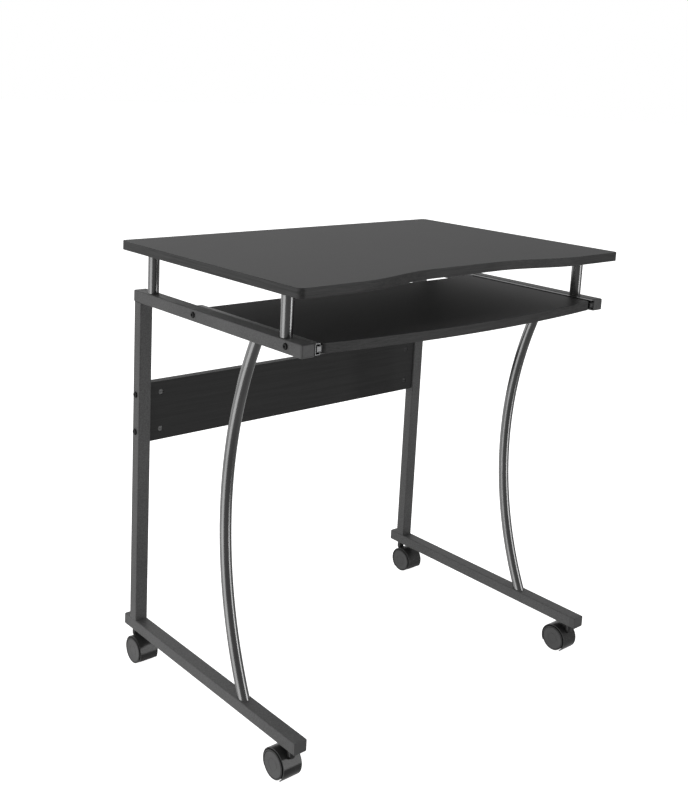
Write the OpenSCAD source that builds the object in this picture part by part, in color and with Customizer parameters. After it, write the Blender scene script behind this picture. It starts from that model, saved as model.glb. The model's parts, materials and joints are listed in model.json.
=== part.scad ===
// Computer desk on casters, with a keyboard tray that slides out on ball bearing runners.
// X runs left to right for someone sitting at it, the front is -Y, and Z = 0 is the floor.

/* [Desktop] */
// Height of the desktop's upper face above the floor
desk_h = 750; // [640:5:900]
// Width of the desktop, left to right
desktop_w = 720; // [600:5:900]
// Depth of the desktop at its ends, front to back
desktop_d = 470; // [390:5:570]
// Thickness of the desktop board
desktop_t = 15; // [12:0.5:22]
// Radius of the desktop's four corners
desktop_corner_r = 10; // [4:1:30]
// How far the middle of the front edge is set back
recess_depth = 27; // [5:1:40]
// Width of the straight middle of that set-back
recess_flat = 150; // [60:5:200]
// Length of each S-shaped blend beside it
recess_blend = 175; // [100:5:195]

/* [Side frames] */
// Width of a rail tube, left to right
rail_w = 24; // [20:0.5:30]
// Height of a rail tube
rail_h = 20; // [16:0.5:26]
// Wall of the square and round tubes
tube_wall = 1.5; // [1:0.1:2]
// Outside corner radius of the square tubes
tube_corner_r = 2; // [1.6:0.1:3]
// How far the desktop overhangs the outer face of a side frame
side_overhang = 17.5; // [5:0.5:40]
// How far the foot rails reach in front of the desktop
foot_reach = 10; // [0:1:60]
// Front end of an upper rail, behind the desktop's front edge
upper_front_inset = 12; // [0:1:30]
// Rear end of an upper rail, in front of the desktop's rear edge
upper_rear_inset = 14; // [0:1:30]
// Depth of a rear leg's tube, front to back
leg_d = 20; // [16:0.5:26]
// Rear face of a rear leg, in front of the upper rail's rear end
leg_inset = 3; // [0:0.5:10]
// Outside diameter of the bent front legs
front_leg_d = 19; // [16:0.5:22]
// Ends of a front leg, behind the upper rail's front end
front_leg_inset = 118; // [100:1:140]
// How far a front leg bows to the rear
front_leg_bow = 62; // [30:1:80]
// Face thickness of the plugs in the rail ends
cap_t = 3; // [2:0.5:6]
// Length of a plug inside its tube
plug_l = 12; // [8:1:20]

/* [Posts] */
// Gap between an upper rail and the desktop
post_h = 68; // [50:1:90]
// Outside diameter of the posts
post_d = 19; // [16:0.5:22]
// Front post, behind the upper rail's front end
front_post_inset = 50; // [45:1:62]
// Rear post, in front of the upper rail's rear end
rear_post_inset = 43; // [38:1:60]

/* [Rear panel] */
// Height of the panel
panel_h = 105; // [80:5:160]
// Thickness of the panel
panel_t = 15; // [12:0.5:18]
// Upper edge of the panel, below the upper rails
panel_drop = 141; // [100:1:200]
// Front face of the panel, behind the front face of the rear legs
panel_setback = 4; // [0:0.5:6]
// Distance between the two bolts at each end of the panel
panel_bolt_gap = 66; // [50:1:72]
// Distance from the panel's end to its cross dowels
dowel_inset = 22; // [15:1:30]
// Diameter of a cross dowel
dowel_d = 10; // [9:0.5:12]
// Length of a cross dowel
dowel_l = 12; // [10:0.5:12]

/* [Keyboard tray] */
// Depth of the tray at its ends
tray_d = 275; // [220:5:330]
// Thickness of the tray board
tray_t = 15; // [12:0.5:16]
// How far the tray's front edge bows out in the middle
tray_bow = 22; // [5:1:40]
// Radius of the tray's two front corners
tray_corner_r = 8; // [3:0.5:15]
// How far the tray pulls out
tray_travel = 210; // [150:5:215]

/* [Runners] */
// Length of a runner
slide_l = 290; // [275:5:348]
// Height of a runner
slide_h = 17; // [15:0.5:20]
// Thickness of a runner, from the rail to the tray
slide_t = 12; // [10:0.5:14.5]
// Height of the runner's middle above the middle of the rail
slide_rise = 1; // [0:0.5:2]
// Steel thickness of the runner members
slide_gauge = 1.2; // [1:0.1:1.4]
// Diameter of the runner's balls
ball_d = 2.4; // [2:0.1:2.8]
// Number of balls in each row
ball_count = 8; // [4:1:9]
// Distance between balls
ball_pitch = 9; // [7:0.5:10]
// Front runner bolt, behind the runner's front end
slide_bolt_front = 36; // [28:1:37]
// Rear runner bolt, in front of the runner's rear end
slide_bolt_rear = 24; // [18:1:35]

/* [Fasteners] */
// Diameter of the desktop and panel bolts
bolt_d = 6; // [5:0.5:7]
// Diameter of the runner bolts
slide_bolt_d = 5; // [4:0.5:5.5]
// Diameter of a bolt head over the shank's diameter
head_extra = 5; // [4:0.5:6]
// Height of the bolt heads
head_h = 2.6; // [2:0.1:4]
// Outside diameter of the threaded inserts in the desktop
insert_d = 9; // [8.5:0.5:12]
// Length of those inserts
insert_l = 11; // [8:0.5:11]
// Diameter of the tray screws
screw_d = 3; // [2.5:0.5:3.5]
// Length of the tray screws
screw_l = 16; // [12:1:25]

/* [Casters] */
// Diameter of a caster wheel
wheel_d = 45; // [40:1:60]
// Width of one wheel of a pair
wheel_w = 15; // [14:0.5:20]
// Distance between the two wheels of a pair
wheel_gap = 8; // [7:0.5:10]
// Thickness of the caster's hood
hood_t = 1.8; // [1.4:0.1:2.4]
// Gap between the wheels and the hood
hood_gap = 1.2; // [0.8:0.1:2]
// Gap between the hood and the foot rail
rail_gap = 7.5; // [5:0.5:10]
// Distance from the swivel axis to the axle
caster_trail = 20; // [18:0.5:24]
// Swivel axis, from the end of the foot rail
caster_inset = 20; // [16:1:50]
// Diameter of the caster stem
stem_d = 8; // [7:0.5:9]
// Outside diameter of the hood's boss round the stem
boss_d = 13; // [12:0.5:14.5]
// Length of stem inside the hood's boss
stem_grip = 10; // [7:0.5:11.5]
// Diameter of the axle
axle_d = 6; // [5:0.5:7]

/* [Hidden] */
$fn = 64;

// Clearances: fixed pieces, turning pieces, balls, pieces that slide past each other, the end of
// a stem in its boss, and a foot rail's plug and the nut behind it
fit_gap = 0.05;
turn_gap = 0.05;
ball_gap = 0.05;
slide_gap = 0.5;
end_gap = 0.3;
nut_room = 1;

// Depth: the foot rails are centred on Y = 0 and the desktop's rear edge is level with them
foot_l = desktop_d + foot_reach;
rear_y = foot_l / 2;
front_y = rear_y - desktop_d;
upper_front_y = front_y + upper_front_inset;
upper_rear_y = rear_y - upper_rear_inset;
leg_rear_y = upper_rear_y - leg_inset;
leg_front_y = leg_rear_y - leg_d;
front_leg_y = upper_front_y + front_leg_inset;
post_ys = [upper_front_y + front_post_inset, upper_rear_y - rear_post_inset];

// Height: from the wheels up, and from the desktop down
axle_z = wheel_d / 2;
hood_in_r = wheel_d / 2 + hood_gap;
hood_r = hood_in_r + hood_t;
foot_z = axle_z + hood_r + rail_gap;
foot_top_z = foot_z + rail_h;
desktop_z = desk_h - desktop_t;
upper_top_z = desktop_z - post_h;
upper_z = upper_top_z - rail_h;

// Width: the side frames' outer, middle and inner planes
frame_x = desktop_w / 2 - side_overhang;
rail_x = frame_x - rail_w / 2;
inner_x = frame_x - rail_w;

// The bent front leg is an arc through its two ends
leg_chord = upper_z - foot_top_z;
leg_arc_r = leg_chord * leg_chord / (8 * front_leg_bow) + front_leg_bow / 2;
leg_mid_z = (upper_z + foot_top_z) / 2;

// Rear panel and its bolts, which run along the middle of the board
panel_front_y = leg_front_y + panel_setback;
panel_y = panel_front_y + panel_t / 2;
panel_z = upper_z - panel_drop - panel_h;
panel_bolt_zs = [panel_z + (panel_h - panel_bolt_gap) / 2, panel_z + (panel_h + panel_bolt_gap) / 2];
panel_bolt_l = rail_w + dowel_inset + dowel_d / 2;

// Runner: the channels, the balls between their flanges and the cage that spaces them
slide_z = (upper_z + upper_top_z) / 2 + slide_rise;
slide_rear_y = upper_front_y + slide_l;
slide_bolt_ys = [upper_front_y + slide_bolt_front, slide_rear_y - slide_bolt_rear];
outer_clear_h = slide_h / 2 - slide_gauge;
ball_z = outer_clear_h - ball_gap - ball_d / 2;
inner_half_h = ball_z - ball_d / 2 - ball_gap;
outer_inset = 2.8;
outer_depth = slide_t - outer_inset;
outer_lip_h = 1.7;
cage_t = 0.8;
cage_web_x = slide_gauge + slide_gap;
inner_tip_x = cage_web_x + cage_t + slide_gap;
cage_reach_x = outer_depth - slide_gauge - slide_gap;
ball_x = (inner_tip_x + cage_reach_x) / 2;
cage_margin = 6.5;
cage_l = (ball_count - 1) * ball_pitch + 2 * cage_margin;
cage_stop = 2;
cage_y = upper_front_y + tray_travel / 2 + cage_stop;

// Tray
tray_x = inner_x - slide_t;
tray_rear_y = upper_front_y + tray_d;
tray_z = slide_z - tray_t / 2;
tray_arc_r = tray_x * tray_x / (2 * tray_bow) + tray_bow / 2;
tray_arc_y = upper_front_y - tray_bow + tray_arc_r;
// The middle of the circle that rounds a corner, and where that circle meets the bowed edge
tray_corner_x = tray_x - tray_corner_r;
tray_corner_y = tray_arc_y - sqrt(pow(tray_arc_r - tray_corner_r, 2) - pow(tray_corner_x, 2));
tray_corner_meet_x = tray_corner_x * tray_arc_r / (tray_arc_r - tray_corner_r);
screw_rim = 1.5;
screw_head_d = screw_d + 2 * screw_rim;
screw_head_h = 1.4;
screw_inset = 30;
screw_ys = [upper_front_y + screw_inset, (upper_front_y + tray_rear_y) / 2, tray_rear_y - screw_inset];

// Casters: the stem is near the rail's end and the wheels trail towards the middle of the rail
caster_y = foot_l / 2 - caster_inset;
collar_rim = 3;
collar_d = stem_d + 2 * collar_rim;
collar_h = 2;
stem_low_z = foot_z - collar_h - stem_grip;
nut_wall = 3;
nut_d = stem_d + 2 * nut_wall;
nut_h = 9;
hub_wall = 3.5;
hub_r = axle_d / 2 + hub_wall;
web_clear = 1.5;
web_t = wheel_gap - 2 * web_clear;
hood_inset = 1.8;
hood_w = 2 * (wheel_w + wheel_gap / 2 - hood_inset);
axle_inset = 3.5;
axle_l = 2 * (wheel_w + wheel_gap / 2 - axle_inset);
hood_from = -30;
hood_to = 230;

// Wheel: the round shoulders, the groove in the outer face and the hollow in the inner face
shoulder_r = 2.5;
groove_depth = 1.2;
groove_w = 0.9;
groove_rim = 3.1;
hollow_depth = 5;
hollow_rim = 4;
hub_rim = 1;
axle_room = 0.5;

BOARD = [0.16, 0.16, 0.17];
RAIL = [0.40, 0.40, 0.42];
TUBE = [0.34, 0.34, 0.36];
PLASTIC = [0.14, 0.14, 0.15];
HOOD = [0.20, 0.20, 0.21];
ZINC = [0.72, 0.73, 0.75];
BLACK = [0.08, 0.08, 0.09];
STEEL = [0.62, 0.63, 0.65];

// ---- Shared shapes -------------------------------------------------------

// A rectangle centred on the origin with round corners
module round_rect(w, h, r) {
    square([w - 2 * r, h], center = true);
    square([w, h - 2 * r], center = true);
    for (sx = [-1, 1], sy = [-1, 1])
        translate([sx * (w / 2 - r), sy * (h / 2 - r)])
            circle(r);
}

// Section of a square tube
module tube_section(w, h) {
    difference() {
        round_rect(w, h, tube_corner_r);
        round_rect(w - 2 * tube_wall, h - 2 * tube_wall, tube_corner_r - tube_wall / 2);
    }
}

// Turns a shape drawn flat so that it runs along Y
module along_y(y, length) {
    translate([0, y + length, 0])
        rotate([90, 0, 0])
            linear_extrude(length)
                children();
}

// A rod along X, from x0 towards +X
module rod_x(x0, y, z, d, length) {
    translate([x0, y, z])
        rotate([0, 90, 0])
            cylinder(d = d, h = length);
}

// A rod along Z
module rod_z(x, y, z, d, length) {
    translate([x, y, z])
        cylinder(d = d, h = length);
}

// The right-hand version as drawn for side 1, its mirror image for side -1
module on_side(side) {
    if (side > 0)
        children();
    else
        mirror([1, 0, 0])
            children();
}

// A domed bolt head on the plane Z = 0, its shank going up and its head down
module bolt_up(d, length) {
    head_r = (d + head_extra) / 2;
    cylinder(d = d, h = length);
    dome_r = (head_r * head_r + head_h * head_h) / (2 * head_h);
    intersection() {
        translate([0, 0, -head_h + dome_r])
            sphere(dome_r);
        translate([0, 0, -head_h])
            cylinder(r = head_r, h = head_h);
    }
}

// ---- Boards --------------------------------------------------------------

// The front edge's set-back at a place along X: flat in the middle, an S on each side
function setback(x) =
    let(u = (abs(x) - recess_flat / 2) / recess_blend)
    u <= 0 ? recess_depth : u >= 1 ? 0 : recess_depth * (1 + cos(180 * u)) / 2;

recess_half = recess_flat / 2 + recess_blend;
recess_steps = 40;
recess_points = [for (i = [0 : recess_steps])
    let(x = -recess_half + 2 * recess_half * i / recess_steps)
    [x, front_y + setback(x)]];

module desktop_outline() {
    difference() {
        translate([0, (front_y + rear_y) / 2])
            round_rect(desktop_w, desktop_d, desktop_corner_r);
        polygon(concat(recess_points, [[recess_half, front_y - 5], [-recess_half, front_y - 5]]));
    }
}

module desktop() {
    color(BOARD)
        difference() {
            translate([0, 0, desktop_z])
                linear_extrude(desktop_t)
                    desktop_outline();
            for (side = [-1, 1], y = post_ys)
                rod_z(side * rail_x, y, desktop_z - 1, insert_d + 2 * fit_gap, insert_l + 1 + fit_gap);
        }
}

module rear_panel() {
    color(BOARD)
        difference() {
            translate([-inner_x, panel_front_y, panel_z])
                cube([2 * inner_x, panel_t, panel_h]);
            for (side = [-1, 1], z = panel_bolt_zs) {
                translate([side * (inner_x - dowel_inset), panel_front_y - 1, z])
                    rotate([-90, 0, 0])
                        cylinder(d = dowel_d + 2 * fit_gap, h = dowel_l + 1 + fit_gap);
                on_side(side)
                    rod_x(inner_x - dowel_inset - dowel_d, panel_y, z, bolt_d + 2 * fit_gap,
                          dowel_inset + dowel_d + 1);
            }
        }
}

// The front edge is an arc that would meet the ends level with the rails, and its corners are rounded
module tray_outline() {
    difference() {
        intersection() {
            translate([-tray_x, upper_front_y - tray_bow])
                square([2 * tray_x, tray_d + tray_bow]);
            translate([0, tray_arc_y])
                circle(tray_arc_r, $fn = 720);
        }
        for (side = [-1, 1])
            on_side(side)
                translate([tray_corner_meet_x, tray_corner_y - 2 * tray_bow])
                    square([2 * tray_corner_r, 2 * tray_bow]);
    }
    for (side = [-1, 1])
        translate([side * tray_corner_x, tray_corner_y])
            circle(tray_corner_r);
}

module keyboard_tray() {
    color(BOARD)
        difference() {
            translate([0, 0, tray_z])
                linear_extrude(tray_t)
                    tray_outline();
            for (side = [-1, 1], y = screw_ys)
                on_side(side)
                    rod_x(tray_x - screw_l, y, slide_z, screw_d + 2 * fit_gap, screw_l + 1);
        }
}

// ---- Side frames ---------------------------------------------------------

module upper_rail(side) {
    color(RAIL)
        difference() {
            translate([side * rail_x, 0, (upper_z + upper_top_z) / 2])
                along_y(upper_front_y + cap_t, upper_rear_y - upper_front_y - 2 * cap_t)
                    tube_section(rail_w, rail_h);
            for (y = post_ys)
                rod_z(side * rail_x, y, upper_z - 1, bolt_d + 2 * fit_gap, rail_h + 2);
            for (y = slide_bolt_ys)
                on_side(side)
                    rod_x(inner_x - 1, y, slide_z, slide_bolt_d + 2 * fit_gap, rail_w + 2);
        }
}

module foot_rail(side) {
    color(RAIL)
        difference() {
            translate([side * rail_x, 0, foot_z + rail_h / 2])
                along_y(-rear_y + cap_t, foot_l - 2 * cap_t)
                    tube_section(rail_w, rail_h);
            for (end = [-1, 1])
                rod_z(side * rail_x, end * caster_y, foot_z - 1, stem_d + 2 * fit_gap, rail_h / 2);
        }
}

module rear_leg(side) {
    color(RAIL)
        difference() {
            translate([side * rail_x, (leg_front_y + leg_rear_y) / 2, foot_top_z])
                linear_extrude(upper_z - foot_top_z)
                    tube_section(rail_w, leg_d);
            for (z = panel_bolt_zs)
                on_side(side)
                    rod_x(inner_x - 1, panel_y, z, bolt_d + 2 * fit_gap, rail_w + 2);
        }
}

// An arc of round tube, cut level with the rails above and below
module front_leg(side) {
    reach = 2 * asin(leg_chord / 2 / leg_arc_r);
    color(TUBE)
        intersection() {
            translate([side * rail_x, front_leg_y + front_leg_bow - leg_arc_r, leg_mid_z])
                rotate([0, -90, 0])
                    rotate([0, 0, 90 - reach])
                        rotate_extrude(angle = 2 * reach, $fn = 96)
                            translate([leg_arc_r, 0])
                                difference() {
                                    circle(d = front_leg_d);
                                    circle(d = front_leg_d - 2 * tube_wall);
                                }
            translate([side * rail_x - front_leg_d, -rear_y, foot_top_z])
                cube([2 * front_leg_d, foot_l, leg_chord]);
        }
}

module post(side, y) {
    color(TUBE)
        difference() {
            rod_z(side * rail_x, y, upper_top_z, post_d, post_h);
            rod_z(side * rail_x, y, upper_top_z - 1, post_d - 2 * tube_wall, post_h + 2);
        }
}

// A plug for a rail end: a face as large as the tube and a hollow stub inside it
module rail_cap(x, y, z, end, stub_l) {
    plug_w = rail_w - 2 * tube_wall - 2 * fit_gap;
    plug_h = rail_h - 2 * tube_wall - 2 * fit_gap;
    face_y = end > 0 ? y - cap_t : y;
    stub_y = end > 0 ? y - cap_t - stub_l : y + cap_t;
    translate([x, 0, z]) {
        along_y(face_y, cap_t)
            round_rect(rail_w, rail_h, tube_corner_r);
        along_y(stub_y, stub_l)
            difference() {
                round_rect(plug_w, plug_h, tube_corner_r - tube_wall / 2);
                square([plug_w - 2 * tube_wall, plug_h - 2 * tube_wall], center = true);
            }
    }
}

module upper_rail_caps() {
    color(PLASTIC)
        for (side = [-1, 1]) {
            rail_cap(side * rail_x, upper_front_y, (upper_z + upper_top_z) / 2, -1, plug_l);
            rail_cap(side * rail_x, upper_rear_y, (upper_z + upper_top_z) / 2, 1, plug_l);
        }
}

// These stop short of the nuts that hold the casters
module foot_rail_caps() {
    stub_l = min(plug_l, caster_inset - cap_t - nut_d / 2 - nut_room);
    color(PLASTIC)
        for (side = [-1, 1], end = [-1, 1])
            rail_cap(side * rail_x, end * rear_y, foot_z + rail_h / 2, end, stub_l);
}

// ---- Fasteners -----------------------------------------------------------

// Long bolts from under the upper rails, through the posts, into the desktop
module desktop_bolts() {
    color(BLACK)
        for (side = [-1, 1], y = post_ys)
            translate([side * rail_x, y, upper_z])
                bolt_up(bolt_d, rail_h + post_h + insert_l - 1);
}

module desktop_inserts() {
    color(ZINC)
        for (side = [-1, 1], y = post_ys)
            difference() {
                rod_z(side * rail_x, y, desktop_z, insert_d, insert_l);
                rod_z(side * rail_x, y, desktop_z - 1, bolt_d + 2 * fit_gap, insert_l + 2);
            }
}

// Bolts through the rear legs into the ends of the panel
module panel_bolts() {
    color(BLACK)
        for (side = [-1, 1], z = panel_bolt_zs)
            on_side(side)
                translate([frame_x, panel_y, z])
                    rotate([0, -90, 0])
                        bolt_up(bolt_d, panel_bolt_l);
}

// The nuts that those bolts draw up, sunk in the panel's front face
module cross_dowels() {
    color(ZINC)
        for (side = [-1, 1], z = panel_bolt_zs)
            difference() {
                translate([side * (inner_x - dowel_inset), panel_front_y, z])
                    rotate([-90, 0, 0])
                        cylinder(d = dowel_d, h = dowel_l);
                on_side(side)
                    rod_x(inner_x - dowel_inset - dowel_d, panel_y, z, bolt_d + 2 * fit_gap, 2 * dowel_d);
            }
}

// Bolts through the upper rails, flush in the outer runner members
module slide_bolts() {
    color(BLACK)
        for (side = [-1, 1], y = slide_bolt_ys)
            on_side(side)
                translate([frame_x, y, slide_z])
                    rotate([0, -90, 0])
                        bolt_up(slide_bolt_d, rail_w + slide_gauge);
}

module tray_screws() {
    color(ZINC)
        for (side = [-1, 1], y = screw_ys)
            on_side(side) {
                rod_x(tray_x - screw_l + slide_gauge + 1, y, slide_z, screw_d, screw_l - 1);
                rod_x(tray_x + slide_gauge, y, slide_z, screw_head_d, screw_head_h);
            }
}

// ---- Runners -------------------------------------------------------------
// Sections are drawn with x measured inwards from the rail's face and y up from the runner's middle.

module slide_piece(side, y, length) {
    on_side(side)
        translate([inner_x, 0, slide_z])
            mirror([1, 0, 0])
                along_y(y, length)
                    children();
}

module outer_section() {
    mouth_half_h = outer_clear_h - outer_lip_h;
    difference() {
        translate([0, -slide_h / 2])
            square([outer_depth, slide_h]);
        translate([slide_gauge, -outer_clear_h])
            square([outer_depth - 2 * slide_gauge, 2 * outer_clear_h]);
        translate([slide_gauge, -mouth_half_h])
            square([outer_depth, 2 * mouth_half_h]);
    }
}

module slide_outer(side) {
    color(ZINC)
        difference() {
            slide_piece(side, upper_front_y, slide_l)
                outer_section();
            for (y = slide_bolt_ys)
                on_side(side)
                    rod_x(inner_x - slide_gauge - 1, y, slide_z, slide_bolt_d + 2 * fit_gap, slide_gauge + 2);
        }
}

module inner_section() {
    pocket_half_h = inner_half_h - slide_gauge;
    difference() {
        translate([inner_tip_x, -inner_half_h])
            square([slide_t - inner_tip_x, 2 * inner_half_h]);
        translate([0, -pocket_half_h])
            square([slide_t - slide_gauge, 2 * pocket_half_h]);
    }
}

module slide_inner(side) {
    color(STEEL)
        difference() {
            slide_piece(side, upper_front_y, slide_l)
                inner_section();
            for (y = screw_ys)
                on_side(side)
                    rod_x(tray_x - 1, y, slide_z, screw_d + 2 * fit_gap, slide_gauge + 2);
        }
}

module cage_section() {
    outside_half_h = ball_z + cage_t / 2;
    inside_half_h = ball_z - cage_t / 2;
    difference() {
        translate([cage_web_x, -outside_half_h])
            square([cage_reach_x - cage_web_x, 2 * outside_half_h]);
        translate([cage_web_x + cage_t, -inside_half_h])
            square([cage_reach_x, 2 * inside_half_h]);
    }
}

function ball_y(i) = cage_y + cage_margin + i * ball_pitch;

module slide_cage(side) {
    color(STEEL)
        difference() {
            slide_piece(side, cage_y, cage_l)
                cage_section();
            for (i = [0 : ball_count - 1])
                on_side(side)
                    rod_z(inner_x - ball_x, ball_y(i), slide_z - slide_h, ball_d + 4 * ball_gap, 2 * slide_h);
        }
}

module slide_balls(side) {
    color(STEEL)
        for (i = [0 : ball_count - 1], s = [-1, 1])
            on_side(side)
                translate([inner_x - ball_x, ball_y(i), slide_z + s * ball_z])
                    sphere(d = ball_d, $fn = 24);
}

// ---- Casters -------------------------------------------------------------

// Places a caster drawn with its stem on the Z axis and its wheels trailing along +Y
module at_caster(side, end) {
    translate([side * rail_x, end * caster_y, 0])
        rotate([0, 0, end < 0 ? 0 : 180])
            children();
}

// Turns a shape drawn flat, x to the rear and y up about the axle, to run along X
module across(width) {
    translate([-width / 2, caster_trail, axle_z])
        rotate([90, 0, 90])
            linear_extrude(width)
                children();
}

// A pie slice that covers the stretch of the hood, from below the trailing side to below the stem side
module hood_slice() {
    turns = [for (i = [0 : 6]) hood_from + (hood_to - hood_from) * i / 6];
    polygon(concat([[0, 0]], [for (a = turns) 2 * hood_r * [cos(a), sin(a)]]));
}

module hood(side, end) {
    color(HOOD)
        at_caster(side, end)
            difference() {
                union() {
                    across(hood_w)
                        difference() {
                            intersection() {
                                circle(hood_r);
                                hood_slice();
                            }
                            circle(hood_in_r);
                        }
                    across(web_t) {
                        intersection() {
                            circle(hood_in_r + hood_t / 2);
                            hood_slice();
                        }
                        circle(hub_r);
                    }
                    difference() {
                        union() {
                            rod_z(0, 0, stem_low_z, boss_d, stem_grip - end_gap);
                            translate([0, 0, stem_low_z])
                                sphere(d = boss_d);
                        }
                        across(hood_w)
                            circle(hood_in_r);
                    }
                }
                rod_z(0, 0, stem_low_z, stem_d + 2 * turn_gap, stem_grip + 5);
                rod_x(-web_t, caster_trail, axle_z, axle_d + 2 * fit_gap, 2 * web_t);
            }
}

// The stems thread into nuts inside the foot rails, and the hoods turn on them
module caster_stems() {
    color(STEEL)
        for (side = [-1, 1], end = [-1, 1])
            at_caster(side, end) {
                rod_z(0, 0, stem_low_z + end_gap, stem_d, collar_h + stem_grip - end_gap + tube_wall + nut_h);
                rod_z(0, 0, foot_z - collar_h, collar_d, collar_h);
            }
}

module caster_nuts() {
    color(ZINC)
        for (side = [-1, 1], end = [-1, 1])
            at_caster(side, end)
                difference() {
                    rod_z(0, 0, foot_z + tube_wall, nut_d, nut_h);
                    rod_z(0, 0, foot_z, stem_d + 2 * fit_gap, nut_h + rail_h);
                }
}

module axle(side, end) {
    color(STEEL)
        at_caster(side, end)
            rod_x(-axle_l / 2, caster_trail, axle_z, axle_d, axle_l);
}

// Half section of a wheel: y is the radius and x runs out from the wheel's inner face
module wheel_section() {
    r = wheel_d / 2;
    difference() {
        union() {
            square([wheel_w, r - shoulder_r]);
            translate([shoulder_r, 0])
                square([wheel_w - 2 * shoulder_r, r]);
            for (x = [shoulder_r, wheel_w - shoulder_r])
                translate([x, r - shoulder_r])
                    circle(shoulder_r);
        }
        translate([-1, -1])
            square([1 + (axle_l - wheel_gap) / 2 + axle_room, 1 + axle_d / 2 + turn_gap]);
        translate([wheel_w - groove_depth, r - groove_rim - groove_w])
            square([2 * groove_depth, groove_w]);
        translate([-1, hub_r + hub_rim])
            square([1 + hollow_depth, r - hollow_rim - hub_r - hub_rim]);
        translate([-1, -2])
            square([wheel_w + 2, 2]);
    }
}

// way is 1 for the wheel on the caster's +X side and -1 for the other
module wheel(side, end, way) {
    color(PLASTIC)
        at_caster(side, end)
            translate([way * wheel_gap / 2, caster_trail, axle_z])
                rotate([0, 90 * way, 0])
                    rotate_extrude()
                        mirror([1, -1])
                            wheel_section();
}

// ---- The nodes -----------------------------------------------------------

desktop();
rear_panel();
keyboard_tray();
upper_rail(-1);  // left_upper_rail
upper_rail(1);  // right_upper_rail
foot_rail(-1);  // left_foot_rail
foot_rail(1);  // right_foot_rail
rear_leg(-1);  // left_rear_leg
rear_leg(1);  // right_rear_leg
front_leg(-1);  // left_front_leg
front_leg(1);  // right_front_leg
post(-1, post_ys[0]);  // front_left_post
post(1, post_ys[0]);  // front_right_post
post(-1, post_ys[1]);  // rear_left_post
post(1, post_ys[1]);  // rear_right_post
upper_rail_caps();
foot_rail_caps();
desktop_bolts();
desktop_inserts();
panel_bolts();
cross_dowels();
slide_bolts();
tray_screws();
slide_outer(-1);  // left_slide_outer
slide_outer(1);  // right_slide_outer
slide_cage(-1);  // left_slide_cage
slide_cage(1);  // right_slide_cage
slide_balls(-1);  // left_slide_balls
slide_balls(1);  // right_slide_balls
slide_inner(-1);  // left_slide_inner
slide_inner(1);  // right_slide_inner
caster_stems();
caster_nuts();
hood(-1, -1);  // front_left_hood
hood(1, -1);  // front_right_hood
hood(-1, 1);  // rear_left_hood
hood(1, 1);  // rear_right_hood
axle(-1, -1);  // front_left_axle
axle(1, -1);  // front_right_axle
axle(-1, 1);  // rear_left_axle
axle(1, 1);  // rear_right_axle
wheel(-1, -1, -1);  // front_left_wheel_outer
wheel(-1, -1, 1);  // front_left_wheel_inner
wheel(1, -1, 1);  // front_right_wheel_outer
wheel(1, -1, -1);  // front_right_wheel_inner
wheel(-1, 1, 1);  // rear_left_wheel_outer
wheel(-1, 1, -1);  // rear_left_wheel_inner
wheel(1, 1, -1);  // rear_right_wheel_outer
wheel(1, 1, 1);  // rear_right_wheel_inner
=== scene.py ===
import json
import math
import bmesh
import bpy
from mathutils import Matrix, Vector


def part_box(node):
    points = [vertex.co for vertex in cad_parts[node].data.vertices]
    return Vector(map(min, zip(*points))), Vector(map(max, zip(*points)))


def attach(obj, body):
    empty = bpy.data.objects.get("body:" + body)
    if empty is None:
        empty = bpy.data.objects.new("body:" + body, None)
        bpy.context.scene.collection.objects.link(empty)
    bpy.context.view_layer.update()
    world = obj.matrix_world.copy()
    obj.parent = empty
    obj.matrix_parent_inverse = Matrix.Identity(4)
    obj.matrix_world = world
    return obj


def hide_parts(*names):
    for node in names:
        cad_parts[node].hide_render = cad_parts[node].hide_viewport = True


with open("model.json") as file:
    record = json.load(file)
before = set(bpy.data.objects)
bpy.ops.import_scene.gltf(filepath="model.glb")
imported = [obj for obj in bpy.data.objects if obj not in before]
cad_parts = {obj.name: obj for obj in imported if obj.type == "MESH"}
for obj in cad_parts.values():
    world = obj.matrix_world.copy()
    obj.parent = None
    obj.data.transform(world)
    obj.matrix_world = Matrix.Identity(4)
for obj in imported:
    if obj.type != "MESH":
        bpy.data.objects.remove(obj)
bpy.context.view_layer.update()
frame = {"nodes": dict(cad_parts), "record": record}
print("frame loaded:", len(frame["nodes"]), "nodes")

# camera first: a low three-quarter view from the front left
shot = {
    "place": (-1.286, -1.333, 1.028),
    "turn": 38.9,  # degrees to the right of straight ahead
    "tilt": 10.55,  # degrees down
    "roll": 2.27,
    "lens": 49.22,
    "shift": (0.08, -0.15),
}
cameraData = bpy.data.cameras.new("deskCamera")
cameraData.lens = shot["lens"]
cameraData.shift_x, cameraData.shift_y = shot["shift"]
cameraObject = bpy.data.objects.new("deskCamera", cameraData)
bpy.context.scene.collection.objects.link(cameraObject)
cameraObject.matrix_world = (
    Matrix.Translation(shot["place"])
    @ Matrix.Rotation(math.radians(-shot["turn"]), 4, "Z")
    @ Matrix.Rotation(math.radians(90 - shot["tilt"]), 4, "X")
    @ Matrix.Rotation(math.radians(shot["roll"]), 4, "Z")
)
bpy.context.scene.camera = cameraObject

sides = {"left": -1, "right": 1}
ends = {"front": -1, "rear": 1}
corners = [end + "_" + side for end in ends for side in sides]


# ways to pick and shape, shared by all pieces

def nothingSelected():
    bpy.ops.object.select_all(action="DESELECT")


def editing(piece, kind="FACE"):
    nothingSelected()
    piece.select_set(True)
    bpy.context.view_layer.objects.active = piece
    bpy.ops.object.mode_set(mode="EDIT")
    bpy.ops.mesh.select_mode(type=kind)
    bpy.ops.mesh.select_all(action="DESELECT")


def doneEditing():
    bpy.ops.object.mode_set(mode="OBJECT")


def pickFaces(piece, test):
    mesh = bmesh.from_edit_mesh(piece.data)
    bpy.ops.mesh.select_all(action="DESELECT")
    for face in mesh.faces:
        if test(face):
            face.select_set(True)
    bmesh.update_edit_mesh(piece.data)


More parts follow.
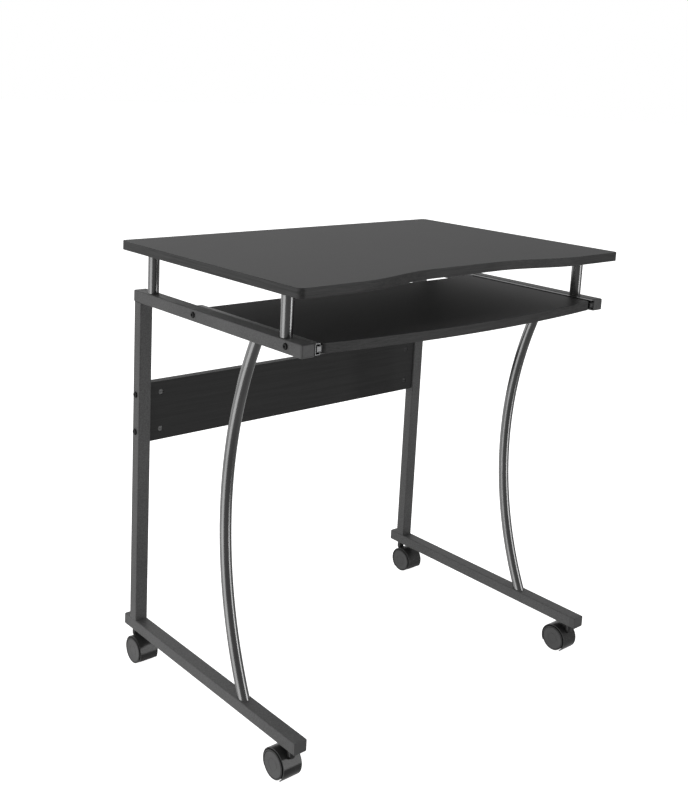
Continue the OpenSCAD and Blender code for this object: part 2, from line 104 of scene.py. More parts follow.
def pickEdges(piece, test):
    mesh = bmesh.from_edit_mesh(piece.data)
    bpy.ops.mesh.select_all(action="DESELECT")
    for edge in mesh.edges:
        if test(edge):
            edge.select_set(True)
    bmesh.update_edit_mesh(piece.data)


def pickVerts(piece, test):
    mesh = bmesh.from_edit_mesh(piece.data)
    bpy.ops.mesh.select_all(action="DESELECT")
    for vert in mesh.verts:
        if test(vert.co):
            vert.select_set(True)
    bmesh.update_edit_mesh(piece.data)


def newest(name):
    piece = bpy.context.active_object
    piece.name = name
    piece.data.name = name
    bpy.ops.object.transform_apply(location=True, rotation=True, scale=True)
    return piece


def addBlock(name, low, high):
    nothingSelected()
    low, high = Vector(low), Vector(high)
    bpy.ops.mesh.primitive_cube_add(size=1, location=(low + high) / 2, scale=high - low)
    return newest(name)


def addRod(name, centre, radius, length, along="Z", verts=64, fill="NGON"):
    nothingSelected()
    turns = {"X": (0, math.pi / 2, 0), "Y": (math.pi / 2, 0, 0), "Z": (0, 0, 0)}
    bpy.ops.mesh.primitive_cylinder_add(
        vertices=verts, radius=radius, depth=length, end_fill_type=fill,
        location=centre, rotation=turns[along],
    )
    return newest(name)


def finishWith(piece, kind, **settings):
    nothingSelected()
    piece.select_set(True)
    bpy.context.view_layer.objects.active = piece
    step = piece.modifiers.new(kind.lower(), kind)
    for key, value in settings.items():
        setattr(step, key, value)
    bpy.ops.object.modifier_apply(modifier=step.name)


def softenEdges(piece, width, segments=3, angle=40):
    finishWith(piece, "BEVEL", width=width, segments=segments, limit_method="ANGLE",
               angle_limit=math.radians(angle), miter_outer="MITER_ARC", use_clamp_overlap=True)


def smoothPiece(piece, angle=35):
    nothingSelected()
    piece.select_set(True)
    bpy.context.view_layer.objects.active = piece
    bpy.ops.object.shade_smooth_by_angle(angle=math.radians(angle))
    finishWith(piece, "WEIGHTED_NORMAL", mode="FACE_AREA", keep_sharp=True)  # flats stay flat beside a bevel


def cutAway(piece, cutters):
    for cutter in cutters:
        finishWith(piece, "BOOLEAN", object=cutter, operation="DIFFERENCE", solver="EXACT")
        bpy.data.objects.remove(cutter)


def copyOf(piece, name, start=(0, 0, 0), end=(0, 0, 0), turn=0):
    # a copy with its own mesh, turned about the upright line through start, which then goes to end
    nothingSelected()
    twin = piece.copy()
    twin.data = piece.data.copy()
    twin.name = twin.data.name = name
    bpy.context.scene.collection.objects.link(twin)
    turned = Matrix.Rotation(math.radians(turn), 4, "Z")
    twin.data.transform(Matrix.Translation(end) @ turned @ Matrix.Translation(-Vector(start)))
    return twin


def repeated(piece, names, places, turns=None):
    # the piece at the first place, and a copy of it at each of the others
    made = [piece]
    for i in range(1, len(names)):
        made.append(copyOf(piece, names[i], places[0], places[i], turns[i] if turns else 0))
    return made


def middleOf(node):
    low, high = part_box(node)
    return (low + high) / 2


def spanOf(piece):
    spots = [v.co for v in piece.data.vertices]
    return Vector(map(min, *spots)), Vector(map(max, *spots))


def copyOfNode(node, name):
    # a CAD node's mesh as a new piece, its loose triangles merged into clean faces
    twin = frame["nodes"][node].copy()
    twin.data = twin.data.copy()
    for key in list(twin.keys()):
        del twin[key]
    twin.parent = None
    twin.matrix_world = Matrix.Identity(4)
    twin.name = twin.data.name = name
    bpy.context.scene.collection.objects.link(twin)
    editing(twin, "VERT")
    bpy.ops.mesh.select_all(action="SELECT")
    bpy.ops.mesh.remove_doubles(threshold=1e-6)
    bpy.ops.mesh.dissolve_limited(angle_limit=math.radians(1))
    doneEditing()
    return twin


def finished(piece, body, slotName, material, *nodes):
    piece.data.materials.clear()
    piece.data.materials.append(material)
    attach(piece, body)
    if nodes:
        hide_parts(*nodes)


# shader maths: one value in a material, with the operators that are used

class Wire:
    def __init__(self, tree, socket):
        self.tree = tree
        self.socket = socket

    def node(self, kind, settings, values, output=0):
        made = self.tree.nodes.new(kind)
        for key, value in settings.items():
            if key == "stops":
                for stop, (place, shade) in zip(made.color_ramp.elements, value):
                    stop.position = place
                    stop.color = (shade, shade, shade, 1)
            else:
                setattr(made, key, value)
        for key, value in values.items():
            if isinstance(value, Wire):
                self.tree.links.new(value.socket, made.inputs[key])
            else:
                made.inputs[key].default_value = value
        return Wire(self.tree, made.outputs[output])

    def maths(self, operation, first, second):
        return self.node("ShaderNodeMath", {"operation": operation}, {0: first, 1: second})

    def __add__(self, other):
        return self.maths("ADD", self, other)

    __radd__ = __add__

    def __sub__(self, other):
        return self.maths("SUBTRACT", self, other)

    def __rsub__(self, other):
        return self.maths("SUBTRACT", other, self)

    def __mul__(self, other):
        return self.maths("MULTIPLY", self, other)

    __rmul__ = __mul__

    def noise(self, scale, detail=3.0, roughness=0.5, distortion=0.0):
        return self.node("ShaderNodeTexNoise", {}, {
            "Vector": self, "Scale": scale, "Detail": detail,
            "Roughness": roughness, "Distortion": distortion})

    def stretched(self, x, y, z):
        return self.node("ShaderNodeMapping", {}, {"Vector": self, "Scale": (x, y, z)})

    def ramp(self, *stops):
        return self.node("ShaderNodeValToRGB", {"stops": stops}, {0: self})

    def between(self, dark, light):
        return self.node("ShaderNodeMix", {"data_type": "RGBA"},
                         {0: self, 6: (*dark, 1), 7: (*light, 1)}, output=2)

    def bump(self, strength, distance):
        return self.node("ShaderNodeBump", {}, {"Height": self, "Strength": strength, "Distance": distance})

    def into(self, shader, name):
        self.tree.links.new(self.socket, shader.inputs[name])


def newMaterial(name, **fixed):
    material = bpy.data.materials.new(name)
    material.use_nodes = True
    tree = material.node_tree
    shader = tree.nodes["Principled BSDF"]
    for key, value in fixed.items():
        shader.inputs[key.replace("_", " ")].default_value = value
    place = Wire(tree, tree.nodes.new("ShaderNodeTexCoord").outputs["Object"])
    return material, shader, place


def grey(value, warm=0.0):
    return (value * (1 + warm), value, value * (1 - warm))


# board finishes: black wood-grain laminate, and the same print on the edge band

faceLook = {
    "dark": 0.022, "light": 0.050, "contrast": 0.25, "gloss": 0.22,
    "grain": (4, 150, 150), "pores": (18, 800, 800), "depth": 0.00008,
    "rough": 0.50, "roughSwing": 0.10,
}
edgeLook = {
    "dark": 0.020, "light": 0.080, "contrast": 0.20, "gloss": 0.30,
    "grain": (11, 330, 330), "pores": (45, 1500, 1500), "depth": 0.00015,
    "rough": 0.50, "roughSwing": 0.12,
}


def laminate(name, look, along="X"):
    material, shader, place = newMaterial(name, Specular_IOR_Level=look["gloss"])
    order = {"X": (0, 1, 2), "Y": (1, 0, 2)}[along]
    grain = place.stretched(*[look["grain"][i] for i in order]).noise(1.0, 4, 0.6, 0.6)
    pores = place.stretched(*[look["pores"][i] for i in order]).noise(1.0, 2, 0.5)
    cloud = place.noise(6.0, 2)
    tone = grain * 0.55 + pores * 0.33 + cloud * 0.12
    shade = tone.ramp((0.5 - look["contrast"], 0), (0.5 + look["contrast"], 1))
    shade.between(grey(look["dark"]), grey(look["light"])).into(shader, "Base Color")
    (look["rough"] + (grain * 0.5 + pores * 0.5 - 0.5) * look["roughSwing"]).into(shader, "Roughness")
    (pores * 0.6 + grain * 0.4).bump(0.35, look["depth"]).into(shader, "Normal")
    return material


boardFace = laminate("boardFace", faceLook)
boardEdge = laminate("boardEdge", edgeLook)
boardEnd = laminate("boardEnd", edgeLook, "Y")


# metal finishes: textured powder coat on the square tube, glossier paint on the round tube

railLook = {"dark": 0.078, "light": 0.148, "speck": 1500, "orange": 420, "rough": 0.46, "depth": 0.00016}
tubeLook = {"dark": 0.20, "light": 0.30, "flake": 2200, "orange": 300, "rough": 0.22, "depth": 0.00010}


def railPaintFinish():
    look = railLook
    material, shader, place = newMaterial("railPaint", Specular_IOR_Level=0.4)
    speck = place.noise(look["speck"], 2, 0.6)
    orange = place.noise(look["orange"], 2, 0.5)
    cloud = place.noise(9, 3)
    tone = (speck * 0.35 + orange * 0.4 + cloud * 0.25).ramp((0.38, 0), (0.62, 1))
    tone.between(grey(look["dark"]), grey(look["light"])).into(shader, "Base Color")
    (look["rough"] + (speck - 0.5) * 0.25 + (cloud - 0.5) * 0.10).into(shader, "Roughness")
    (speck * 0.5 + orange * 0.5).bump(0.45, look["depth"]).into(shader, "Normal")
    return material


def tubePaintFinish():
    look = tubeLook
    material, shader, place = newMaterial("tubePaint", Metallic=1.0)
    flake = place.noise(look["flake"], 2, 0.6)
    orange = place.noise(look["orange"], 2, 0.5)
    cloud = place.noise(12, 3)
    tone = (flake * 0.6 + cloud * 0.4).ramp((0.35, 0), (0.65, 1))
    tone.between(grey(look["dark"]), grey(look["light"])).into(shader, "Base Color")
    (look["rough"] + (flake - 0.5) * 0.08 + (cloud - 0.5) * 0.05).into(shader, "Roughness")
    orange.bump(0.12, look["depth"]).into(shader, "Normal")
    return material


def plasticFinish(name, dark, light, rough, grainSize, grainDepth):
    material, shader, place = newMaterial(name, Specular_IOR_Level=0.5)
    grain = place.noise(grainSize, 2, 0.55)
    cloud = place.noise(30, 3)
    tone = (grain * 0.5 + cloud * 0.5).ramp((0.3, 0), (0.7, 1))
    tone.between(grey(dark), grey(light)).into(shader, "Base Color")
    (rough + (grain - 0.5) * 0.15 + (cloud - 0.5) * 0.12).into(shader, "Roughness")
    grain.bump(0.25, grainDepth).into(shader, "Normal")
    return material


def platedFinish(name, dark, light, rough, brushed):
    material, shader, place = newMaterial(name, Metallic=1.0)
    streak = place.stretched(*brushed).noise(1.0, 3, 0.6)
    cloud = place.noise(60, 3)
    tone = (streak * 0.6 + cloud * 0.4).ramp((0.3, 0), (0.7, 1))
    tone.between(grey(dark), grey(light, -0.01)).into(shader, "Base Color")
    (rough + (streak - 0.5) * 0.20 + (cloud - 0.5) * 0.10).into(shader, "Roughness")
    streak.bump(0.10, 0.00005).into(shader, "Normal")
    return material


railPaint = railPaintFinish()
tubePaint = tubePaintFinish()
capPlastic = plasticFinish("capPlastic", 0.075, 0.120, 0.48, 1400, 0.00010)
hoodPlastic = plasticFinish("hoodPlastic", 0.026, 0.050, 0.24, 700, 0.00004)
wheelPlastic = plasticFinish("wheelPlastic", 0.018, 0.032, 0.42, 900, 0.00010)
discPlastic = plasticFinish("discPlastic", 0.055, 0.105, 0.36, 900, 0.00010)
blackBolt = platedFinish("blackBolt", 0.020, 0.045, 0.38, (400, 400, 400))
darkZinc = platedFinish("darkZinc", 0.10, 0.20, 0.30, (700, 20, 700))
dowelZinc = platedFinish("dowelZinc", 0.05, 0.12, 0.36, (500, 500, 500))
brightSteel = platedFinish("brightSteel", 0.34, 0.50, 0.26, (700, 20, 700))
print("finishes made")


# boards: a core with a band round its edges

desktopSpec = {
    "cornerR": 0.010, "recess": 0.027, "recessFlat": 0.150, "blend": 0.175, "cuts": 56,
    "band": 0.0010, "drillR": 0.00455, "squareRear": False,
}
traySpec = {"cornerR": 0.008, "bow": 0.022, "cuts": 32, "band": 0.0010, "squareRear": True}
panelSpec = {"cornerR": 0.001, "cuts": 0, "band": 0.0008, "drillR": 0.00505, "squareRear": False}
coreEdgeR = 0.00025
bandEdgeR = 0.00035


def desktopSetback(x):
    u = (abs(x) - desktopSpec["recessFlat"] / 2) / desktopSpec["blend"]
    u = min(max(u, 0), 1)
    return desktopSpec["recess"] * (1 + math.cos(math.pi * u)) / 2


def traySetback(x):
    half = (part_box("keyboard_tray")[1].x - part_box("keyboard_tray")[0].x) / 2
    radius = half * half / (2 * traySpec["bow"]) + traySpec["bow"] / 2
    return radius - math.sqrt(radius * radius - x * x)


def shapedBoard(name, node, spec, setback=None, thin="z"):
    low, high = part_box(node)
    board = addBlock(name, low, high)
    editing(board, "VERT")
    for i in range(1, spec["cuts"]):
        x = low.x + (high.x - low.x) * i / spec["cuts"]
        bpy.ops.mesh.select_all(action="SELECT")
        bpy.ops.mesh.bisect(plane_co=(x, 0, 0), plane_no=(1, 0, 0))
    if setback:
        for i in range(spec["cuts"] + 1):
            x = low.x + (high.x - low.x) * i / spec["cuts"]
            pickVerts(board, lambda co: abs(co.x - x) < 1e-5 and abs(co.y - low.y) < 1e-5)
            bpy.ops.transform.translate(value=(0, setback(x), 0))
    bpy.ops.mesh.select_mode(type="EDGE")

    def isCorner(edge):
        a, b = edge.verts[0].co, edge.verts[1].co
        upright = abs((b - a).normalized()[{"y": 1, "z": 2}[thin]]) > 0.99
        atEnd = min(abs(a.x - low.x), abs(a.x - high.x)) < 1e-5
        return upright and atEnd and not (spec["squareRear"] and a.y > high.y - 1e-5)

    pickEdges(board, isCorner)
    bpy.ops.mesh.bevel(offset=spec["cornerR"], segments=8, affect="EDGES")
    doneEditing()
    return board


def bandOf(board, name, spec, thin="z"):
    band = copyOf(board, name)
    editing(band)
    pickFaces(band, lambda face: abs(getattr(face.normal, thin)) > 0.9)
    bpy.ops.mesh.delete(type="ONLY_FACE")
    doneEditing()
    finishWith(band, "SOLIDIFY", thickness=spec["band"], offset=-1, use_even_offset=True)
    softenEdges(band, bandEdgeR, 2, 60)
    smoothPiece(band)
    return band


def shrinkBoard(board, spec, thin="z"):
    low, high = spanOf(board)
    size = high - low
    ratio = [1 - 2 * spec["band"] / size[i] for i in range(3)]
    ratio[{"y": 1, "z": 2}[thin]] = 1
    editing(board)
    bpy.ops.mesh.select_all(action="SELECT")
    bpy.ops.transform.resize(value=ratio, center_override=(low + high) / 2)
    doneEditing()


def finishedBand(band, body):
    finished(band, body, "board", boardEdge)
    band.data.materials.append(boardEnd)
    band.active_material_index = 1
    editing(band)
    pickFaces(band, lambda face: abs(face.normal.x) > 0.7)
    bpy.ops.object.material_slot_assign()
    doneEditing()


def makeDesktop():
    board = shapedBoard("desktop_board", "desktop", desktopSpec, desktopSetback)
    band = bandOf(board, "desktop_edge_band", desktopSpec)
    shrinkBoard(board, desktopSpec)
    low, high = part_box("desktop_inserts")
    radius = desktopSpec["drillR"]
    drills = [addRod("drill", (x, y, low.z), radius, 2 * (high.z - low.z), "Z", 32)
              for x in (low.x + radius, high.x - radius) for y in (low.y + radius, high.y - radius)]
    cutAway(board, drills)
    softenEdges(board, coreEdgeR, 2)
    smoothPiece(board)
    finished(board, "frame", "board", boardFace, "desktop")
    finishedBand(band, "frame")


def makeTray():
    board = shapedBoard("tray_board", "keyboard_tray", traySpec, traySetback)
    band = bandOf(board, "tray_edge_band", traySpec)
    shrinkBoard(board, traySpec)
    softenEdges(board, coreEdgeR, 2)
    smoothPiece(board)
    finished(board, "tray", "board", boardFace, "keyboard_tray")
    finishedBand(band, "tray")


def makePanel():
    board = shapedBoard("panel_board", "rear_panel", panelSpec, None, "y")
    band = bandOf(board, "panel_edge_band", panelSpec, "y")
    shrinkBoard(board, panelSpec, "y")
    low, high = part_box("cross_dowels")
    radius = panelSpec["drillR"]
    drills = [addRod("drill", (x, low.y, z), radius, 2 * (high.y - low.y), "Y", 48)
              for x in (low.x + radius, high.x - radius) for z in (low.z + radius, high.z - radius)]
    cutAway(board, drills)
    softenEdges(board, coreEdgeR, 2)
    smoothPiece(board)
    finished(board, "frame", "board", boardFace, "rear_panel")
    finishedBand(band, "frame")


makeDesktop()
makeTray()
makePanel()
print("boards done")


# round tube: bent front legs and posts

# spare is how many degrees the arc runs on past each end, before it is cut level
legSpec = {"diameter": 0.019, "bow": 0.062, "wall": 0.0015, "verts": 48, "steps": 80, "spare": 2.0}
postSpec = {"wall": 0.0015, "verts": 64, "edgeR": 0.0004}


def makeFrontLeg(name, node):
    low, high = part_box(node)
    radius = legSpec["diameter"] / 2
    chord = high.z - low.z
    arcR = chord * chord / (8 * legSpec["bow"]) + legSpec["bow"] / 2
    reach = math.asin(chord / 2 / arcR) + math.radians(legSpec["spare"])
    centre = Vector(((low.x + high.x) / 2, high.y - radius - arcR, (low.z + high.z) / 2))
    nothingSelected()
    start = centre + arcR * Vector((0, math.cos(-reach), math.sin(-reach)))
    bpy.ops.mesh.primitive_circle_add(
        vertices=legSpec["verts"], radius=radius, location=start, rotation=(-reach, 0, 0))
    leg = newest(name)
    editing(leg, "VERT")
    bpy.ops.mesh.select_all(action="SELECT")
    bpy.ops.mesh.spin(steps=legSpec["steps"], angle=2 * reach, center=centre, axis=(-1, 0, 0))
    for z, way in ((low.z, -1), (high.z, 1)):  # cut level with the rails
        bpy.ops.mesh.select_all(action="SELECT")
        bpy.ops.mesh.bisect(plane_co=(0, 0, z), plane_no=(0, 0, way), clear_outer=True)
    bpy.ops.mesh.select_all(action="SELECT")
    bpy.ops.mesh.remove_doubles(threshold=1e-6)
    bpy.ops.mesh.normals_make_consistent(inside=False)
    doneEditing()
    finishWith(leg, "SOLIDIFY", thickness=legSpec["wall"], offset=-1)
    smoothPiece(leg)
    return leg


def makePost(name, node):
    low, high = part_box(node)
    radius = (high.x - low.x) / 2
    post = addRod(name, (low + high) / 2, radius, high.z - low.z, "Z", postSpec["verts"], "NOTHING")
    finishWith(post, "SOLIDIFY", thickness=postSpec["wall"], offset=-1)
    softenEdges(post, postSpec["edgeR"], 2, 60)
    smoothPiece(post)
    return post


def makeTubes(make, names, nodes):
    tubes = repeated(make(names[0], nodes[0]), names, [middleOf(node) for node in nodes])
    for tube, node in zip(tubes, nodes):
        finished(tube, "frame", "tube_paint", tubePaint, node)


makeTubes(makeFrontLeg, [side + "_bent_leg" for side in sides], [side + "_front_leg" for side in sides])
makeTubes(makePost, [corner + "_tube" for corner in corners], [corner + "_post" for corner in corners])
print("round tube done")


# plugs in the rail ends

capSpec = {
    "thick": 0.003, "cornerR": 0.0022, "seam": 0.0003, "wall": 0.0016, "sole": 0.0018, "floor": 0.001,
    "upper": {"edgeR": 0.0024, "stub": 0.012},
    "foot": {"edgeR": 0.0009, "stub": 0.009},
}


def makeCap(name, place, wide, tall, kind):
    # place is the middle of the plug's face, which looks to the front
    spec = capSpec[kind]
    faceY, backY = place.y, place.y + capSpec["thick"]
    half = Vector((wide / 2, 0, tall / 2))
    cap = addBlock(name, place - half, place + half + Vector((0, capSpec["thick"], 0)))
    editing(cap, "EDGE")
    pickEdges(cap, lambda edge: abs((edge.verts[1].co - edge.verts[0].co).y) > 1e-4)
    bpy.ops.mesh.bevel(offset=capSpec["cornerR"], segments=5, affect="EDGES")
    pickEdges(cap, lambda edge: all(abs(v.co.y - faceY) < 1e-5 for v in edge.verts))
    bpy.ops.mesh.bevel(offset=spec["edgeR"], segments=5, affect="EDGES")
    pickEdges(cap, lambda edge: all(abs(v.co.y - backY) < 1e-5 for v in edge.verts))
    bpy.ops.mesh.bevel(offset=capSpec["seam"], segments=2, affect="EDGES")
    bpy.ops.mesh.select_mode(type="FACE")
    pickFaces(cap, lambda face: face.normal.y > 0.9)
    bpy.ops.mesh.inset(thickness=capSpec["wall"], depth=0)
    bpy.ops.mesh.extrude_region_move(TRANSFORM_OT_translate={"value": (0, spec["stub"], 0)})
    bpy.ops.mesh.inset(thickness=capSpec["sole"], depth=0)
    hollow = spec["stub"] - capSpec["floor"]
    bpy.ops.mesh.extrude_region_move(TRANSFORM_OT_translate={"value": (0, -hollow, 0)})
    doneEditing()
    smoothPiece(cap)
    return cap


def makeCaps(node, kind):
    low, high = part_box(node)
    railLow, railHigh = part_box("left_upper_rail")
    wide = railHigh.x - railLow.x
    names, places, turns = [], [], []
    for side, sx in sides.items():
        for end, sy in ends.items():
            names.append(f"{kind}_plug_{end}_{side}")
            x = low.x + wide / 2 if sx < 0 else high.x - wide / 2
            places.append(Vector((x, low.y if sy < 0 else high.y, (low.z + high.z) / 2)))
            turns.append(0 if sy < 0 else 180)
    cap = makeCap(names[0], places[0], wide, high.z - low.z, kind)
    for twin in repeated(cap, names, places, turns):
        finished(twin, "frame", "cap_plastic", capPlastic)
    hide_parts(node)


makeCaps("upper_rail_caps", "upper")
makeCaps("foot_rail_caps", "foot")
print("plugs done")


# button-head bolts

boltSpec = {
    "headH": 0.0026, "dome": 0.92, "socket": 0.0019, "socketDeep": 0.0014,
    "desktop_bolts": {"name": "desktop_bolt", "shankD": 0.006, "headD": 0.011},
    "panel_bolts": {"name": "panel_bolt", "shankD": 0.006, "headD": 0.011, "length": 0.051},
    "slide_bolts": {"name": "runner_bolt", "shankD": 0.005, "headD": 0.010, "length": 0.0252},
}


def makeBolt(name, tip, way, spec, length):
    # tip is the middle of the head's bearing face, way the direction the shank points in
    outward = -Vector(way)
    along = "XYZ"[way.index(1)]
    headH, headD = boltSpec["headH"], spec["headD"]
    head = addRod(name, tip + outward * headH / 2, headD / 2, headH, along, 48)
    editing(head, "EDGE")
    pickEdges(head, lambda edge: all((v.co - tip).dot(outward) > headH * 0.9 for v in edge.verts))
    bpy.ops.mesh.bevel(offset=headH * boltSpec["dome"], offset_type="OFFSET", segments=6, affect="EDGES")
    bpy.ops.mesh.select_mode(type="FACE")
    pickFaces(head, lambda face: face.normal.dot(-outward) > 0.9)
    bpy.ops.mesh.inset(thickness=(headD - spec["shankD"]) / 2, depth=0)
    bpy.ops.mesh.extrude_region_move(TRANSFORM_OT_translate={"value": Vector(way) * length})
    doneEditing()
    socket = addRod("socket", tip + outward * headH, boltSpec["socket"], 2 * boltSpec["socketDeep"], along, 6)
    cutAway(head, [socket])
    smoothPiece(head)
    return head


def makeBoltSet(node):
    spec = boltSpec[node]
    headR, headH = spec["headD"] / 2, boltSpec["headH"]
    low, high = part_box(node)
    xs, ys, zs = [(a + headR, b - headR) for a, b in zip(low, high)]
    if node == "desktop_bolts":  # upwards, from under the rails
        way, length, turns = (0, 0, 1), high.z - low.z - headH, None
        tips = [Vector((x, y, low.z + headH)) for x in xs for y in ys]
    else:  # inwards, from both sides
        way, length, turns = (1, 0, 0), spec["length"], (0, 0, 180, 180)
        level = (low.z + high.z) / 2
        spots = [(ys[0], z) for z in zs] if node == "panel_bolts" else [(y, level) for y in ys]
        tips = [Vector((x, y, z)) for x in (low.x + headH, high.x - headH) for y, z in spots]
    names = [f"{spec['name']}_{i + 1}" for i in range(len(tips))]
    bolt = makeBolt(names[0], tips[0], way, spec, length)
    for twin in repeated(bolt, names, tips, turns):
        finished(twin, "frame", "black_bolt", blackBolt)
    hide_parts(node)


for node in ("desktop_bolts", "panel_bolts", "slide_bolts"):
    makeBoltSet(node)
print("bolts done")


# barrel nuts in the panel, with a screwdriver slot that shows which way the thread runs

dowelSpec = {
    "gap": 0.00005, "edgeR": 0.0006, "verts": 48,
    "slotWide": 0.0014, "slotDeep": 0.0012, "inset": 0.0004,
}


def makeDowels():
    low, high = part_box("cross_dowels")
    radius = panelSpec["drillR"] - dowelSpec["gap"]
    long = high.y - low.y - dowelSpec["inset"]
    places = [Vector((x, high.y - long / 2, z))
              for x in (low.x + radius, high.x - radius) for z in (low.z + radius, high.z - radius)]
    names = [f"barrel_nut_{i + 1}" for i in range(len(places))]
    dowel = addRod(names[0], places[0], radius, long, "Y", dowelSpec["verts"])
    softenEdges(dowel, dowelSpec["edgeR"], 3, 60)
    half = Vector((radius * 1.2, dowelSpec["slotDeep"] + dowelSpec["inset"], dowelSpec["slotWide"] / 2))
    face = Vector((places[0].x, low.y, places[0].z))
    cutAway(dowel, [addBlock("slot", face - half, face + half)])
    smoothPiece(dowel)
    for twin in repeated(dowel, names, places):
        finished(twin, "frame", "zinc", dowelZinc)
    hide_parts("cross_dowels")


makeDowels()
print("barrel nuts done")


# runners: the rolled steel members get their small bend radii

runnerSpec = {"outer": ("frame", "zinc", 0.0004), "inner": ("tray", "bright_steel", 0.0003)}

for side in sides:
    for member, (body, slotName, radius) in runnerSpec.items():
        node = f"{side}_slide_{member}"
        channel = copyOfNode(node, f"{side}_runner_{member}")
        softenEdges(channel, radius, 2, 50)
        smoothPiece(channel)
        finished(channel, body, slotName, darkZinc, node)

tabSpec = {"thick": 0.0012, "cornerR": 0.0010, "edgeR": 0.0003}


def makeTab(name, node):
    # the bent tab that closes the inner member's front end
    low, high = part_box(node)
    tab = addBlock(name, low, (high.x, low.y + tabSpec["thick"], high.z))
    editing(tab, "EDGE")
    pickEdges(tab, lambda edge: abs((edge.verts[1].co - edge.verts[0].co).y) > 1e-4)
    bpy.ops.mesh.bevel(offset=tabSpec["cornerR"], segments=4, affect="EDGES")
    doneEditing()
    softenEdges(tab, tabSpec["edgeR"], 2, 60)
    smoothPiece(tab)
    return tab


names = [side + "_runner_tab" for side in sides]
nodes = [side + "_slide_inner" for side in sides]
for tab in repeated(makeTab(names[0], nodes[0]), names, [middleOf(node) for node in nodes]):
    finished(tab, "tray", "bright_steel", darkZinc)
print("runners done")


# casters

wheelSpec = {
    "verts": 96, "shoulder": 0.0010, "edgeR": 0.00015,
    # steps from the rim to the middle of the outer face: how far in, how far out
    "face": (
        (0.0014, 0),  # rim
        (0.0002, -0.0012), (0.0007, 0), (0.0004, 0.0011),  # groove
        (0.0030, -0.0003), (0.0070, 0),  # dish and flat of the disc
        (0.0005, -0.0004), (0.0005, 0.0004),  # fine ring round the middle
    ),
    "discDeep": 0.0010,  # how deep the disc's grey reaches from the outer face
    "innerRim": 0.004, "innerDeep": 0.005, "slope": 0.0004, "hubR": 0.0075, "axleR": 0.00305, "bore": 0.014,
}
hoodEdgeR = 0.0005


def makeWheel(name, node):
    # the outer face looks to the left
    spec = wheelSpec
    low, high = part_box(node)
    centre = (low + high) / 2
    radius = (high.z - low.z) / 2
    wheel = addRod(name, centre, radius, high.x - low.x, "X", spec["verts"])
    editing(wheel)
    pickFaces(wheel, lambda face: face.normal.x < -0.9)
    for inwards, outwards in spec["face"]:
        bpy.ops.mesh.inset(thickness=inwards, depth=outwards)
    # inner face: hollow with a hub bored for the axle
    hollow = radius - spec["innerRim"] - 2 * spec["slope"] - spec["hubR"]
    pickFaces(wheel, lambda face: face.normal.x > 0.9)
    bpy.ops.mesh.inset(thickness=spec["innerRim"], depth=0)
    bpy.ops.mesh.inset(thickness=spec["slope"], depth=-spec["innerDeep"])
    bpy.ops.mesh.inset(thickness=hollow, depth=0)
    bpy.ops.mesh.inset(thickness=spec["slope"], depth=spec["innerDeep"])
    bpy.ops.mesh.inset(thickness=spec["hubR"] - spec["axleR"], depth=0)
    bpy.ops.mesh.extrude_region_move(TRANSFORM_OT_translate={"value": (-spec["bore"], 0, 0)})
    bpy.ops.mesh.select_mode(type="EDGE")

    def isShoulder(edge):
        a, b = edge.verts[0].co, edge.verts[1].co
        far = all(math.hypot(v.y - centre.y, v.z - centre.z) > radius - 1e-5 for v in (a, b))
        return far and abs(a.x - b.x) < 1e-6

    pickEdges(wheel, isShoulder)
    bpy.ops.mesh.bevel(offset=spec["shoulder"], segments=5, affect="EDGES")
    doneEditing()
    softenEdges(wheel, spec["edgeR"], 2, 50)
    smoothPiece(wheel, 30)
    return wheel


def colourDisc(wheel, facing):
    # the outer face is a grey disc let into the black wheel
    low, high = spanOf(wheel)
    centre, radius = (low + high) / 2, (high.z - low.z) / 2
    depth = (low if facing < 0 else high).x - facing * wheelSpec["discDeep"]
    wheel.data.materials.append(discPlastic)
    wheel.active_material_index = 1
    editing(wheel)

    def isDisc(face):
        spot = face.calc_center_median()
        inside = math.hypot(spot.y - centre.y, spot.z - centre.z) < radius - wheelSpec["shoulder"] * 0.7
        return inside and (spot.x - depth) * facing > 0

    pickFaces(wheel, isDisc)
    bpy.ops.object.material_slot_assign()
    doneEditing()


def makeWheels():
    spots = []  # corner, which of the pair, and the way its outer face looks
    for corner in corners:
        sx = sides[corner.split("_")[1]]
        spots += [(corner, "outer", sx), (corner, "inner", -sx)]
    nodes = [f"{corner}_wheel_{which}" for corner, which, facing in spots]
    names = [node.replace("_wheel_", "_roller_") for node in nodes]
    turns = [0 if facing < 0 else 180 for corner, which, facing in spots]
    wheels = repeated(makeWheel(names[0], nodes[0]), names, [middleOf(node) for node in nodes], turns)
    for wheel, node, (corner, which, facing) in zip(wheels, nodes, spots):
        finished(wheel, f"{corner}_{which}_wheel", "wheel_plastic", wheelPlastic, node)
        colourDisc(wheel, facing)


def makeHood(corner):
    node = corner + "_hood"
    hood = copyOfNode(node, corner + "_caster_hood")
    softenEdges(hood, hoodEdgeR, 3, 40)
    smoothPiece(hood)
    finished(hood, corner + "_caster", "hood_plastic", hoodPlastic, node)


for corner in corners:
    makeHood(corner)
makeWheels()
print("casters done")


# CAD nodes that stay, each in its finish

keptFinishes = {
    "rail_paint": railPaint,
    "tube_paint": tubePaint,
    "zinc": darkZinc,
    "bright_steel": brightSteel,
    "cap_plastic": capPlastic,
    "black_bolt": blackBolt,
    "board": boardFace,
    "hood_plastic": hoodPlastic,
    "wheel_plastic": wheelPlastic,
}
for part in frame["record"]["subparts"]:
    node = frame["nodes"][part["node"]]
    for holder in node.material_slots:
        holder.material = keptFinishes[part["material_slot"]]
print("kept nodes painted")


# studio: pale floor, white surround and soft lights

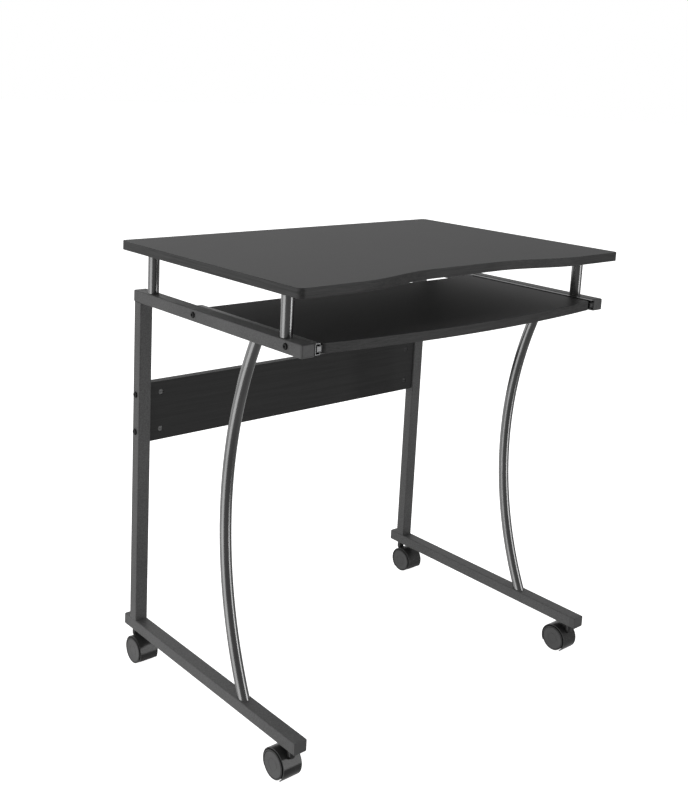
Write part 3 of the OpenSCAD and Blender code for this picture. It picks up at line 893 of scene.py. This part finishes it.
studio = {
    "floorSize": 60, "floor": 0.90, "floorGlow": 1.0, "front": 0.17, "back": 0.90,
    "key": {"place": (-2.1, 0.15, -0.2), "wide": 1.5, "tall": 2.8, "power": 15},
    "strip": {"place": (1.6, -2.8, 0.6), "wide": 1.1, "tall": 3.4, "power": 31},
    "top": {"place": (-0.3, 0.6, 3.0), "wide": 2.0, "tall": 2.0, "power": 12},
}


def makeFloor():
    nothingSelected()
    bpy.ops.mesh.primitive_plane_add(size=studio["floorSize"], location=(0, 0, 0))
    floor = newest("studio_floor")
    material, shader, place = newMaterial("floorPaint", Roughness=0.9, Specular_IOR_Level=0.0,
                                          Emission_Color=(1, 1, 1, 1), Emission_Strength=studio["floorGlow"])
    place.noise(3, 2).between(grey(studio["floor"] - 0.02), grey(studio["floor"])).into(shader, "Base Color")
    floor.data.materials.append(material)
    floor.visible_diffuse = False
    floor.visible_glossy = False
    floor.visible_shadow = False  # the strips reach below the floor, as its bounce


def makeWorld():
    world = bpy.data.worlds.new("studioWorld")
    bpy.context.scene.world = world
    world.use_nodes = True
    tree = world.node_tree
    seen = Wire(tree, tree.nodes.new("ShaderNodeLightPath").outputs["Is Camera Ray"])
    tree.nodes["Background"].inputs["Color"].default_value = (1, 1, 1, 1)
    # white to the camera; as light, dim in front and brighter behind, as a white sweep is
    way = Wire(tree, tree.nodes.new("ShaderNodeTexCoord").outputs["Generated"])
    behind = way.node("ShaderNodeSeparateXYZ", {}, {"Vector": way}, output=1) * 0.5 + 0.5
    glow = studio["front"] + behind * behind * (studio["back"] - studio["front"])
    (seen + (1 - seen) * glow).into(tree.nodes["Background"], "Strength")


def addSoftLight(name):
    spec = studio[name]
    data = bpy.data.lights.new(name + "Light", "AREA")
    data.shape = "RECTANGLE"
    data.size, data.size_y, data.energy = spec["wide"], spec["tall"], spec["power"]
    light = bpy.data.objects.new(name + "Light", data)
    bpy.context.scene.collection.objects.link(light)
    light.location = spec["place"]
    aim = Vector((0, 0, min(light.location.z, 0.45)))
    light.rotation_euler = (aim - light.location).to_track_quat("-Z", "Y").to_euler()


makeFloor()
makeWorld()
for name in ("key", "strip", "top"):
    addSoftLight(name)
bpy.context.scene.view_settings.view_transform = "Standard"
print("studio lit")
